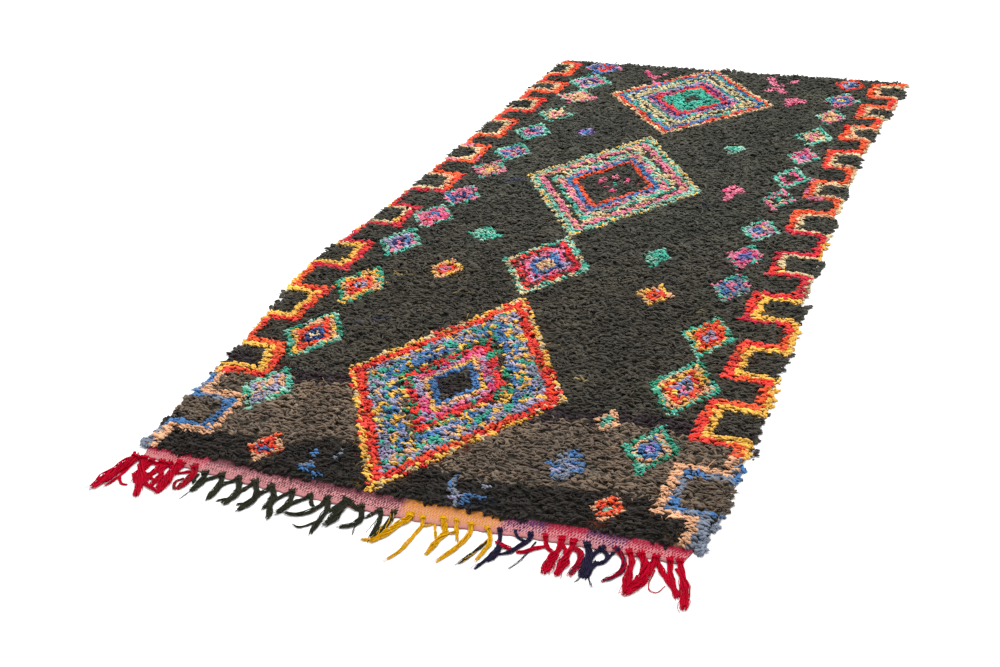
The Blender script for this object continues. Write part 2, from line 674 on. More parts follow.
@dataclass
class RagLock:
    """One rag lock, modelled once as a keeled leaf with a pointed tip and then stamped."""

    rings: tuple[float, ...] = (0.36, 0.72)
    points: np.ndarray = field(init=False)
    ring_of: np.ndarray = field(init=False)
    loops: np.ndarray = field(init=False)
    counts: np.ndarray = field(init=False)
    uvs: np.ndarray = field(init=False)

    def __post_init__(self) -> None:
        """Models the lock with operators and reads its points, faces and cell layout."""
        low, high = self.rings
        bm = bmesh.new()
        bmesh.ops.create_circle(bm, cap_ends=True, segments=3, radius=1.0)
        foot = bm.faces[:][0]
        pulled = bmesh.ops.extrude_face_region(bm, geom=[foot], use_keep_orig=True)["geom"]
        head = next(item for item in pulled if isinstance(item, bmesh.types.BMFace))
        bmesh.ops.translate(bm, verts=head.verts[:], vec=(0, 0, high - low))
        ends = bmesh.ops.poke(bm, faces=[foot, head])["verts"]
        for vertex, reach in zip(sorted(ends, key=lambda v: v.co.z), (-low, 1.0 - high)):
            vertex.co.z += reach
        bmesh.ops.translate(bm, verts=bm.verts[:], vec=(0, 0, low))
        bmesh.ops.recalc_face_normals(bm, faces=bm.faces[:])
        bm.verts.index_update()
        stops = (0.0, low, high, 1.0)
        self.points = np.array([vertex.co[:] for vertex in bm.verts])
        self.ring_of = np.array([
            min(range(len(stops)), key=lambda i: abs(stops[i] - vertex.co.z))
            for vertex in bm.verts
        ])
        loops, counts, uvs = [], [], []
        for face in bm.faces:
            rim = [v for v in face.verts if v not in ends]
            turn = {v: math.atan2(v.co.y, v.co.x) / math.tau % 1.0 for v in rim}
            if max(turn.values()) - min(turn.values()) > 0.5:
                turn = {v: share + (share < 0.5) for v, share in turn.items()}
            middle = sum(turn.values()) / len(turn)
            counts.append(len(face.verts))
            for vertex in face.verts:
                loops.append(vertex.index)
                uvs.append((turn.get(vertex, middle) - 0.2, vertex.co.z))
        bm.free()
        self.loops, self.counts, self.uvs = np.array(loops), np.array(counts), np.array(uvs)
        self.uvs[:, 0] = np.clip(self.uvs[:, 0], 0.0, 1.05) / 1.05


@dataclass
class LockPlan:
    """The pile's locks before they are stamped: every field has one value for each lock.

    Attributes:
        across: The root's place across the rug, in centimetres.
        along: The root's place along the rug, in centimetres.
        way: The direction that the lock lies in, as an angle.
        dye: The number of its dye.
        knot: The shade of its knot.
        plain: Whether it is in a ground dye.
        hang: How much it hangs over the rim, from 0 to 1.
        inward: How far in from the rim it is, in centimetres.
        ribbon: Whether it is one of the longer locks of the combs.
        low: Whether it fills in under the rim.
        thin: Whether it is a loose thread.
    """

    across: np.ndarray
    along: np.ndarray
    way: np.ndarray
    dye: np.ndarray
    knot: np.ndarray
    plain: np.ndarray
    hang: np.ndarray
    inward: np.ndarray
    ribbon: np.ndarray
    low: np.ndarray
    thin: np.ndarray

    def part(self, chosen: np.ndarray) -> LockPlan:
        """The plan of some of the locks, by a mask or by their numbers."""
        return LockPlan(**{name: array[chosen] for name, array in vars(self).items()})

    def joined(self, more: LockPlan) -> LockPlan:
        """This plan's locks with another's after them."""
        return LockPlan(**{name: np.concatenate([array, getattr(more, name)])
                           for name, array in vars(self).items()})

    def ahead(self, reach: np.ndarray) -> tuple[np.ndarray, np.ndarray]:
        """The places that lie a reach in centimetres ahead of the roots."""
        return self.across + np.cos(self.way) * reach, self.along + np.sin(self.way) * reach


@dataclass
class RagPile:
    """The knotted pile: each knot is a fan of rag locks in one dye, stamped row by row."""

    chart: Chart
    lock: RagLock = field(default_factory=RagLock)
    pitch_across: float = 1.58
    pitch_along: float = 1.38
    knot_jitter: tuple[float, float] = (0.16, 0.14)
    fan: int = 6
    fan_spread: tuple[float, float] = (0.66, 0.6)
    ground_fan: int = 4
    ground_share: float = 0.85
    lean: float = 0.3
    comb_border: float = 13.0
    height: float = 12.2 * MM
    root_height: float = 1.4 * MM
    thickness: tuple[float, float] = (1.0 * MM, 1.7 * MM)
    thread: float = 0.5 * MM
    petal: tuple[float, float, float] = (3.8 * MM, 15.0 * MM, 0.16)  # width, length, unevenness
    strand: tuple[float, float, float] = (3.5 * MM, 25.0 * MM, 0.22)
    bands: int = 6
    threads: int = 1600
    seed: int = 5

    def knots(self, rng: np.random.Generator) -> tuple[np.ndarray, np.ndarray]:
        """Lays out the knots in staggered rows over the whole field.

        Args:
            rng: The source of unevenness.

        Returns:
            The knots' places across and along, in centimetres.
        """
        rows = np.arange(-129.2, FAR_EDGE + 0.4, self.pitch_along)
        columns = np.arange(-71.0, 64.0, self.pitch_across)
        across, along = np.meshgrid(columns, rows)
        across = across + (np.arange(len(rows)) % 2)[:, None] * self.pitch_across / 2
        across = (across + rng.normal(0, self.knot_jitter[0], across.shape)).ravel()
        along = (along + rng.normal(0, self.knot_jitter[1], along.shape)).ravel()
        wander = rim_inset(across, along)
        ground = is_ground(self.chart.dye(across - 0.8, along))
        past = np.where(ground, np.interp(along, RIGHT_RIM[:, 0], RIGHT_RIM[:, 1]),
                        np.interp(along, RIGHT_RIM[:, 0], RIGHT_RIM[:, 2]))
        inside = across > selvedge(along, False) + wander
        inside &= across < selvedge(along, True) - wander + past
        inside &= (along > pile_edge(across) + 0.2) & (along < FAR_EDGE - 0.6)
        return across[inside], along[inside]

    def fans(self, rng: np.random.Generator) -> LockPlan:
        """Fans the locks out from their knots, most of them combed to one side or the other.

        Args:
            rng: The source of unevenness.

        Returns:
            The locks, not yet turned outwards at the rim.
        """
        across, along = self.knots(rng)
        dye = self.chart.dye(across, along)
        combed = smooth_noise(across, along, 11.0, 24) + 0.12 + rng.normal(0, 0.35, across.shape)
        way = np.where(combed > 0, math.pi + self.lean, -self.lean)
        way = way + rng.normal(0, 0.24, across.shape)
        number = np.tile(np.arange(self.fan), len(across))
        knot = rng.normal(1.0, 0.08, len(across))
        across, along, way, dye, knot = (
            np.repeat(array, self.fan) for array in (across, along, way, dye, knot))
        ground_knot = is_ground(dye)
        across = across + rng.uniform(-1, 1, way.shape) * self.fan_spread[0]
        along = along + rng.uniform(-1, 1, way.shape) * self.fan_spread[1]
        dye = self.chart.dye(across, along)
        plain = is_ground(dye)
        keep = (number < self.ground_fan) & (rng.uniform(0, 1, way.shape) < self.ground_share)
        keep |= ~plain | ~ground_knot
        none = np.zeros(way.shape)
        plan = LockPlan(across, along, way, dye, knot, plain, hang=none, inward=none,
                        ribbon=none > 0, low=none, thin=none > 0).part(keep)
        shape = plan.way.shape
        turned = (number[keep] == 2) & (rng.uniform(0, 1, shape) < np.where(plan.plain, 0.6, 0.2))
        side = np.minimum(plan.across - selvedge(plan.along, False),
                          selvedge(plan.along, True) - plan.across)
        plan.ribbon = ~plan.plain & (side < self.comb_border)
        loose = np.where(plan.plain, 0.42, np.where(plan.ribbon, 0.22, 0.34))
        plan.way = plan.way + rng.normal(0, loose) + turned * math.pi
        return plan

    def turn_outwards(self, plan: LockPlan, rng: np.random.Generator) -> None:
        """Turns the locks near the rim outwards and draws every root back under its lock.

        Args:
            plan: The locks, changed in place.
            rng: The source of unevenness.
        """
        gaps = (
            (plan.across - selvedge(plan.along, False), math.pi),
            (selvedge(plan.along, True) - plan.across, 0.0),
            (plan.along - pile_edge(plan.across), -math.pi / 2),
            (FAR_EDGE - plan.along, math.pi / 2),
        )
        for gap, out in gaps:
            share = np.clip(1.0 - (gap - 0.3) / 1.8, 0, 1)
            use = share > rng.uniform(0, 0.9, gap.shape)
            plan.way = np.where(use, out + rng.normal(0, 0.5, gap.shape), plan.way)
            plan.hang = np.where(use, np.maximum(plan.hang, share), plan.hang)
        over_weave = gaps[2][0] < 1.6
        plan.hang = np.where(over_weave, plan.hang * 0.5, plan.hang)
        plan.inward = np.min([gap for gap, _ in gaps], axis=0)
        held = self.chart.dye(*plan.ahead(plan.hang * 0.6))
        back = np.where(plan.plain, 0.6, np.where(plan.ribbon, 0.9, 0.7))
        plan.across, plan.along = plan.ahead(-back)
        plan.dye = np.where(plan.hang > 0, held, plan.dye)
        plan.plain = is_ground(plan.dye)

    def locks(self, rng: np.random.Generator) -> LockPlan:
        """Plans every lock, with the lower ones under the rim and the loose threads.

        Args:
            rng: The source of unevenness.

        Returns:
            The plan.
        """
        plan = self.fans(rng)
        self.turn_outwards(plan, rng)
        skirt = plan.part(np.repeat(np.flatnonzero(plan.hang > 0.45), 2))
        shape = skirt.way.shape
        skirt.way = skirt.way + rng.normal(0, 0.4, shape)
        skirt.across = skirt.across + rng.normal(0, 0.25, shape)
        skirt.along = skirt.along + rng.normal(0, 0.25, shape)
        skirt.low = np.ones(shape)
        plan = plan.joined(skirt)
        inner = np.flatnonzero((plan.hang == 0) & (plan.along < FAR_EDGE - 6))
        threads = plan.part(rng.choice(inner, self.threads, replace=False))
        threads.thin = np.ones(self.threads, dtype=bool)
        plan = plan.joined(threads)
        plan.way = plan.way + plan.thin * rng.uniform(-2, 2, plan.way.shape)
        return plan

    def peaks(self, plan: LockPlan, rng: np.random.Generator) -> np.ndarray:
        """How high each lock stands: lumpy, in faint rows, and lower at the rim.

        Args:
            plan: The locks.
            rng: The source of unevenness.

        Returns:
            A height for each lock, in metres.
        """
        across, along, shape = plan.across, plan.along, plan.way.shape
        lump = smooth_noise(across, along, 9.0, 21) * 0.14
        lump = lump + smooth_noise(across, along, 3.4, 22) * 0.1
        lump = lump + 0.13 * np.sin(along * 2.3 + 1.8 * smooth_noise(across, along, 16.0, 23))
        shoulder = np.interp(plan.inward, (-0.5, 0.6, 2.4), (0.6, 0.8, 1.0))
        shoulder = shoulder * np.interp(FAR_EDGE - along, (0.5, 5.0), (0.74, 1.0))
        peak = self.height * (1.0 + lump) * rng.uniform(0.84, 1.06, shape) * shoulder
        raised = sum(
            gain * np.exp(-(((across - middle) / half) ** 2) - ((along - FAR_EDGE + 0.6) / deep) ** 2)
            for middle, half, deep, gain in FAR_TUFTS)
        peak = peak * (1.0 + raised) * (1.0 - 0.45 * plan.low)
        return np.where(plan.thin, peak * rng.uniform(1.1, 1.4, shape), peak)

    def points(self, plan: LockPlan, rng: np.random.Generator) -> np.ndarray:
        """Sizes and bends every lock.

        Args:
            plan: The locks.
            rng: The source of unevenness.

        Returns:
            The places of each lock's points, in metres, by lock and then by point.
        """
        hang, thin, count = plan.hang, plan.thin, len(plan.dye)
        peak = self.peaks(plan, rng)
        wide, long, uneven = np.where(plan.plain[:, None], self.strand, self.petal).T
        spread = np.clip(rng.normal(1.0, uneven), 0.5, 1.5 - 0.3 * hang)
        length = long * spread * np.where(thin, 1.3, 1.0) * (1 - 0.15 * hang)
        width = np.where(thin, self.thread, wide * rng.normal(1.0, uneven))
        thickness = np.where(thin, self.thread, rng.uniform(*self.thickness, count))
        bulge = (plan.across > 0) & (plan.along > -95.0)
        length = length * (1.0 - hang * plan.plain * np.where(bulge, 0.12, 0.26))
        long_one = plan.ribbon * (1.0 - hang)
        length = length * (1.0 + long_one * np.interp(plan.along, (-100, -92), (0.5, 0.3)))
        width = width * (1.0 + 0.12 * long_one) * (1.0 + 0.35 * hang)
        over_pattern = plan.plain & ~is_ground(self.chart.dye(*plan.ahead(length / CM * 0.8)))
        length = np.where(over_pattern, length * 0.6, length)
        peak = np.where(over_pattern, peak * 0.85, peak)
        heading = np.stack([np.cos(plan.way), np.sin(plan.way), np.zeros(count)], axis=-1)
        up = np.array([0.0, 0.0, 1.0])
        x, y = to_metres(plan.across, plan.along)
        root = np.stack([x, y, np.full(count, self.root_height)], axis=-1)
        knee = root + heading * (length * 0.34)[:, None]
        knee = knee + up * (peak * (1.38 - 0.5 * hang - 0.12 * plan.plain))[:, None]
        droop = np.where(thin, rng.uniform(0.9, 1.25, count), rng.uniform(0.5, 1.0, count))
        droop = np.where(plan.plain, droop * 0.5 + 0.45, droop) * (1.0 - 0.8 * hang)
        droop = droop * (1.0 - 0.2 * long_one)
        length = length * (1.0 - 0.3 * hang) * (1.0 - 0.12 * plan.low)
        tip = root + heading * length[:, None] + up * (peak * droop)[:, None]
        twist = rng.normal(0, 0.36, count)
        places, sides, normals = [], [], []
        for stop in (0.0, *self.lock.rings, 1.0):
            spot = root * (1 - stop) ** 2 + knee * (2 * stop * (1 - stop)) + tip * stop**2
            spot = spot + rng.normal(0, 0.8 * MM, spot.shape) * (stop > 0)
            run = (knee - root) * (1 - stop) + (tip - knee) * stop
            run = run / np.linalg.norm(run, axis=-1, keepdims=True)
            side = np.cross(up, run)
            side = side / np.maximum(np.linalg.norm(side, axis=-1, keepdims=True), 1e-6)
            turn = (twist + rng.normal(0, 0.28, count))[:, None]
            face = np.cross(run, side)
            places.append(spot)
            sides.append(side * np.cos(turn) + face * np.sin(turn))
            normals.append(face * np.cos(turn) - side * np.sin(turn))
        ring = self.lock.ring_of
        out = self.lock.points[:, 0] * rng.uniform(0.75, 1.2, (count, 1)) * width[:, None]
        rise = self.lock.points[:, 1] * thickness[:, None]
        points = np.stack(places, axis=1)[:, ring]
        points = points + np.stack(sides, axis=1)[:, ring] * out[..., None]
        points = points + np.stack(normals, axis=1)[:, ring] * rise[..., None]
        points[..., 2] = np.maximum(points[..., 2], 0.4 * MM)
        return points

    def build(self) -> list[bpy.types.Object]:
        """Stamps every lock and splits the pile into bands that stay light to handle.

        Returns:
            One object for each band of rows.
        """
        rng = np.random.default_rng(self.seed)
        plan = self.locks(rng)
        points = self.points(plan, rng)
        colours = self.colours(plan, rng)
        edges = np.linspace(-130, FAR_EDGE + 1, self.bands + 1)
        band_of = np.searchsorted(edges, plan.along, side="right") - 1
        band_of = np.clip(band_of, 0, self.bands - 1)
        finish = RagFinish().make()
        pieces = []
        for band in range(self.bands):
            chosen = band_of == band
            mesh = self.stamp(f"rag_pile_band_{band + 1}", points[chosen], colours[chosen])
            pieces.append(new_object(mesh.name, mesh, finish))
        return pieces

    def colours(self, plan: LockPlan, rng: np.random.Generator) -> np.ndarray:
        """Dyes every lock, unevenly, darker towards its root.

        Args:
            plan: The locks.
            rng: The source of unevenness.

        Returns:
            A linear colour for each point of each lock.
        """
        across, along, count = plan.across, plan.along, len(plan.dye)
        shade = rng.normal(1.0, 0.06, count) * plan.knot
        shade = shade * (1.0 + 0.15 * smooth_noise(across, along, 14.0, 31))
        colour = DYE_LINEAR[plan.dye] * (shade * 0.93)[:, None]
        streak = smooth_noise(across * 0.35, along, 5.0, 33)
        streak = streak + 0.7 * smooth_noise(across, along, 26.0, 34)
        worn = plan.plain * np.clip(streak, -1.4, 1.4)
        colour = colour * (1.0 + 0.15 * worn[:, None] * np.array((1.15, 1.0, 0.8)))
        near = plan.plain * np.clip((20.0 - along) / 60.0, 0, 1)
        colour = colour * (1.0 - near[:, None] * np.array((0.05, 0.17, 0.22)))
        grey = colour.mean(-1, keepdims=True)
        colour = colour + (grey - colour) * rng.uniform(0.0, 0.1, (count, 1))
        colour = np.where(plan.thin[:, None], colour * 1.25, colour)
        depth = np.array((0.78, 0.97, 1.0, 1.03))[self.lock.ring_of]
        return np.clip(colour[:, None, :] * depth[None, :, None], 0.0, 0.95)

    def stamp(self, name: str, points: np.ndarray, colours: np.ndarray) -> bpy.types.Mesh:
        """Makes one mesh of many copies of the lock, each with its own cell in the UV map.

        Args:
            name: The mesh's name.
            points: The points of every lock, by lock and then by point.
            colours: Their colours, in the same order.

        Returns:
            The mesh.
        """
        count, per_lock = points.shape[:2]
        lock = self.lock
        mesh = bpy.data.meshes.new(name)
        mesh.vertices.add(count * per_lock)
        mesh.vertices.foreach_set("co", points.astype(np.float32).ravel())
        loops = lock.loops[None, :] + np.arange(count)[:, None] * per_lock
        mesh.loops.add(loops.size)
        mesh.loops.foreach_set("vertex_index", loops.astype(np.int32).ravel())
        starts = np.concatenate([[0], np.cumsum(lock.counts)[:-1]])
        starts = starts[None, :] + np.arange(count)[:, None] * lock.loops.size
        mesh.polygons.add(starts.size)
        mesh.polygons.foreach_set("loop_start", starts.astype(np.int32).ravel())
        mesh.update(calc_edges=True)
        grid = math.ceil(math.sqrt(count))
        column, row = np.arange(count) % grid, np.arange(count) // grid
        cell = np.stack([column, row], axis=-1)[:, None, :]
        uv = (cell + 0.08 + 0.84 * lock.uvs[None]) / grid
        layer = mesh.uv_layers.new(name="OFBake")
        layer.data.foreach_set("uv", uv.astype(np.float32).ravel())
        paint(mesh, "rag_dye", colours.reshape(-1, 3))
        return mesh


def cloth_sheet(columns: int, rows: int) -> bmesh.types.BMesh:
    """Starts a flat grid from -1 to 1 both ways, to be drawn out into a cloth."""
    bm = bmesh.new()
    bmesh.ops.create_grid(bm, x_segments=columns, y_segments=rows, size=1.0)
    return bm


def close_cloth(bm: bmesh.types.BMesh, name: str, bottom: float) -> bpy.types.Mesh:
    """Gives an open top its sides and a flat underside, and makes it a mesh."""
    pulled = bmesh.ops.extrude_face_region(bm, geom=bm.faces[:])
    for item in pulled["geom"]:
        if isinstance(item, bmesh.types.BMVert):
            item.co.z = bottom
    bmesh.ops.recalc_face_normals(bm, faces=bm.faces[:])
    mesh = bpy.data.meshes.new(name)
    bm.to_mesh(mesh)
    bm.free()
    return mesh


@dataclass
class GroundCloth:
    """The cloth that the rags are knotted into, seen only between the locks."""

    chart: Chart
    columns: int = 30
    rows: int = 84
    top: float = 2.6 * MM
    bottom: float = 0.2 * MM
    near: float = -128.0
    inset: float = 0.9

    def build(self) -> bpy.types.Object:
        """Builds the cloth with the pattern's colours, dark between the knots.

        Returns:
            The cloth as one closed piece.
        """
        bm = cloth_sheet(self.columns, self.rows)
        for vertex in bm.verts:
            u, v = (vertex.co.x + 1) / 2, (vertex.co.y + 1) / 2
            along = self.near + v * (FAR_EDGE - self.near)
            left = float(selvedge(np.array(along), False))
            right = float(selvedge(np.array(along), True))
            left += self.inset + float(rim_inset(np.array(left), np.array(along)))
            right -= self.inset + float(rim_inset(np.array(right), np.array(along)))
            across = left + u * (right - left)
            near = float(pile_edge(np.array(across)))
            along = near + 0.5 + v * (FAR_EDGE - 1.4 - near)
            x, y = to_metres(across, along)
            vertex.co = (x, y, self.top)
        mesh = close_cloth(bm, "ground_cloth", self.bottom)
        points = np.empty(len(mesh.vertices) * 3, dtype=np.float32)
        mesh.vertices.foreach_get("co", points)
        points = points.reshape(-1, 3)
        across = (points[:, 0] - FIELD_MIDDLE[0]) / CM
        along = (points[:, 1] - FIELD_MIDDLE[1]) / CM
        dyed = DYE_LINEAR[self.chart.dye(across, along)]
        paint(mesh, "rag_dye", dyed * 0.3 + np.array(Dye.D.linear()) * 0.4)
        return new_object("ground_cloth", mesh, RagFinish(name="knotted_ground").make())


class WarpRun(Enum):
    """The runs of warp colour across the rug, each from its left to its right."""

    RED_LEFT = ("X", -61.0, -44.9)
    DARK_GREEN = ("E", -44.9, 2.0)
    YELLOW = ("Y", 2.0, 23.0)
    NAVY_INNER = ("N", 23.0, 31.6)
    RED_INNER = ("X", 31.6, 39.6)
    NAVY_OUTER = ("N", 39.6, 48.0)
    RED_RIGHT = ("X", 48.0, 61.0)


YARN_COLOURS = {
    "X": (0.47, 0.0, 0.018),
    "E": (0.022, 0.023, 0.014),
    "Y": (0.70, 0.36, 0.004),
    "N": (0.014, 0.011, 0.030),
}
SPECK_COLOURS = {
    "X": (0.46, 0.006, 0.04),
    "E": (0.12, 0.036, 0.045),
    "Y": (0.72, 0.28, 0.03),
    "N": (0.09, 0.02, 0.10),
}
WEFT_PINK = (0.63, 0.25, 0.255)
WEFT_ROSE = (0.62, 0.255, 0.265)
WEFT_MAUVE = (0.24, 0.055, 0.085)


@dataclass(frozen=True)
class FlatWeaveFinish:
    """Plain weave: weft in one colour with specks of the warp, on the cloth's own threads."""

    name: str = "flat_weave"
    speck_across: float = 0.32
    speck_along: float = 0.95
    rib_turns: float = 42.0
    cord_turns: float = 22.0
    roughness: float = 0.85

    def make(self) -> bpy.types.Material:
        """Builds the material.

        Returns:
            A material that reads the band's weft and warp dyes and its thread places.
        """
        shading = Shading(self.name, {"Roughness": self.roughness, "Specular IOR Level": 0.2})
        maths = shading.maths
        weft = shading.add("Attribute", attribute_name="rag_dye").outputs["Color"]
        warp = shading.add("Attribute", attribute_name="warp_dye").outputs["Color"]
        place = shading.add("Attribute", attribute_name="thread_place").outputs["Vector"]
        split = shading.add("SeparateXYZ", {0: place})
        across, inward, dense = (split.outputs[axis] for axis in "XYZ")
        ragged = shading.noise(place, 2.4, 2.0)
        torn = shading.noise(place, 1.3, 3.0)
        shift = maths("MULTIPLY", maths("SUBTRACT", ragged, 0.5), 0.9)
        column = maths("DIVIDE", maths("ADD", across, shift), self.speck_across)
        row = maths("DIVIDE", maths("ADD", inward, shift), self.speck_along)
        lattice = [maths("SINE", maths("MULTIPLY", maths(way, column, row), math.pi / 2))
                   for way in ("ADD", "SUBTRACT")]
        dot = maths("ABSOLUTE", maths("MULTIPLY", *lattice))
        level = maths("ADD", maths("MULTIPLY", dot, 0.7), dense)
        level = maths("ADD", level, maths("MULTIPLY", ragged, 0.45))
        level = maths("ADD", level, maths("MULTIPLY", maths("SUBTRACT", torn, 0.5), 1.1))
        speck = shading.add("MapRange", {"Value": level, "From Min": 0.95, "From Max": 1.15})
        speck = speck.outputs["Result"]
        mix = shading.add("Mix", {"Factor": speck, "A": weft, "B": warp}, data_type="RGBA")
        rib = maths("SINE", maths("MULTIPLY", inward, self.rib_turns))
        cord = maths("SINE", maths("MULTIPLY", across, self.cord_turns))
        stitch = maths("MAXIMUM", maths("SUBTRACT", 0.42, dot), -0.12)
        stitch = maths("MULTIPLY", maths("MULTIPLY", stitch, dense), 1.5)
        light = maths("ADD", maths("MULTIPLY", rib, 0.06), maths("MULTIPLY", cord, 0.05))
        light = maths("ADD", maths("ADD", light, stitch), 0.95)
        shading.scaled(mix.outputs["Result"], light)
        shading.bump(maths("SUBTRACT", maths("ADD", rib, cord), speck), 0.7, 0.8 * MM)
        return shading.material


@dataclass
class WovenEnd:
    """The flat-woven end: pink weft ribs with the warp colours showing in specks."""

    columns: int = 300
    rows: int = 15
    left: float = -60.6
    right: float = 60.2
    thickness: float = 2.4 * MM
    relief: float = 0.5 * MM
    roll: float = 0.9 * MM
    bottom: float = 0.2 * MM

    def build(self) -> bpy.types.Object:
        """Builds the band with its woven relief and its speckled colours.

        Returns:
            The band as one closed piece.
        """
        bm = cloth_sheet(self.columns, self.rows)
        shares = []
        for vertex in bm.verts:
            u, v = (vertex.co.x + 1) / 2, (vertex.co.y + 1) / 2
            across = self.left + u * (self.right - self.left)
            far = float(pile_edge(np.array(across))) + 0.6
            near = float(weave_edge(np.array(across))) + 0.1 * math.sin(across * 2.7)
            slant = 1.1 * (1 - v) * (u - 0.5) * -2
            along = near + v * (far - near)
            x, y = to_metres(across + slant * abs(u - 0.5) * 2, along)
            column, row = round(u * self.columns), round(v * self.rows)
            over = 1.0 if (column // 2 + row) % 2 else -1.0
            ripple = 0.8 * MM * math.sin(across * 0.9 + 2.0 * v) * (1 - v)
            roll = self.roll * math.exp(-((v - 0.1) / 0.08) ** 2)
            vertex.co = (x, y, self.thickness + self.relief * over * 0.5 + roll + ripple)
            shares.append((u, v, along - near))
        mesh = close_cloth(bm, "woven_end_cloth", self.bottom)
        top = np.array(shares)
        self.dye(mesh, np.vstack([top, top])[: len(mesh.vertices)])
        return new_object("woven_end_cloth", mesh, FlatWeaveFinish().make())

    def dye(self, mesh: bpy.types.Mesh, shares: np.ndarray) -> None:
        """Stores the weft and warp dyes and each point's place among the threads.

        Args:
            mesh: The band's mesh.
            shares: For each point: how far across and in it is, from 0 to 1, and how far in
                from the band's lower edge, in centimetres.
        """
        across = self.left + shares[:, 0] * (self.right - self.left)
        depth, inward = shares[:, 1], shares[:, 2]
        warp = np.tile(SPECK_COLOURS["X"], (len(shares), 1))
        for run in WarpRun:
            letter, left, right = run.value
            share = np.clip((across - left) / 1.4 + 0.5, 0, 1)[:, None]
            warp = warp + (np.array(SPECK_COLOURS[letter]) - warp) * share
        gold = np.clip((across - 2.0) / 2.5, 0, 1) * np.clip((23.5 - across) / 2.5, 0, 1)
        gold = (gold * np.interp(inward, (0.0, 1.2, 2.0, 5.0), (0.08, 0.18, 0.4, 0.2)))[:, None]
        mauve = np.array(WEFT_MAUVE) + (warp - WEFT_MAUVE) * 0.26
        middle = np.clip((inward - 1.2) / 0.5, 0, 1)[:, None]
        deep = np.clip((depth - 0.55) / 0.25, 0, 1)[:, None] * 0.9
        gold = gold * (1 - 0.7 * deep)
        pink = np.array(WEFT_PINK) + (np.array(YARN_COLOURS["Y"]) - WEFT_PINK) * gold
        rose = np.array(WEFT_ROSE) + (np.array(YARN_COLOURS["Y"]) - WEFT_ROSE) * gold
        weft = pink + (rose - pink) * middle
        reddish = np.isin(warp[:, 0], SPECK_COLOURS["X"][0]) * np.clip(inward - 0.8, 0, 1) * 0.16
        weft = weft + (warp - weft) * reddish[:, None]
        paint(mesh, "rag_dye", weft + (mauve - weft) * deep)
        paint(mesh, "warp_dye", warp)
        dense = np.interp(inward, (0.0, 0.8, 1.4, 3.0, 4.0), (0.0, 0.12, 0.46, 0.55, 0.66))
        places = mesh.attributes.new("thread_place", "FLOAT_VECTOR", "POINT")
        values = np.column_stack([across, inward, dense]).astype(np.float32)
        places.data.foreach_set("vector", values.ravel())


@dataclass(frozen=True)
class Tassel:
    """One bunch of warp ends: its middle line, its width, its yarns and whether it is tied."""

    path: tuple[tuple[float, float], ...]
    width: float
    yarns: int
    colours: str
    tied: bool = True
    neck: float = 0.75


@dataclass(frozen=True)
class FringeRun:
    """All the tassels of one warp colour, which stand for one node of the frame."""

    name: str
    node: str
    slot: str
    tassels: tuple[Tassel, ...]


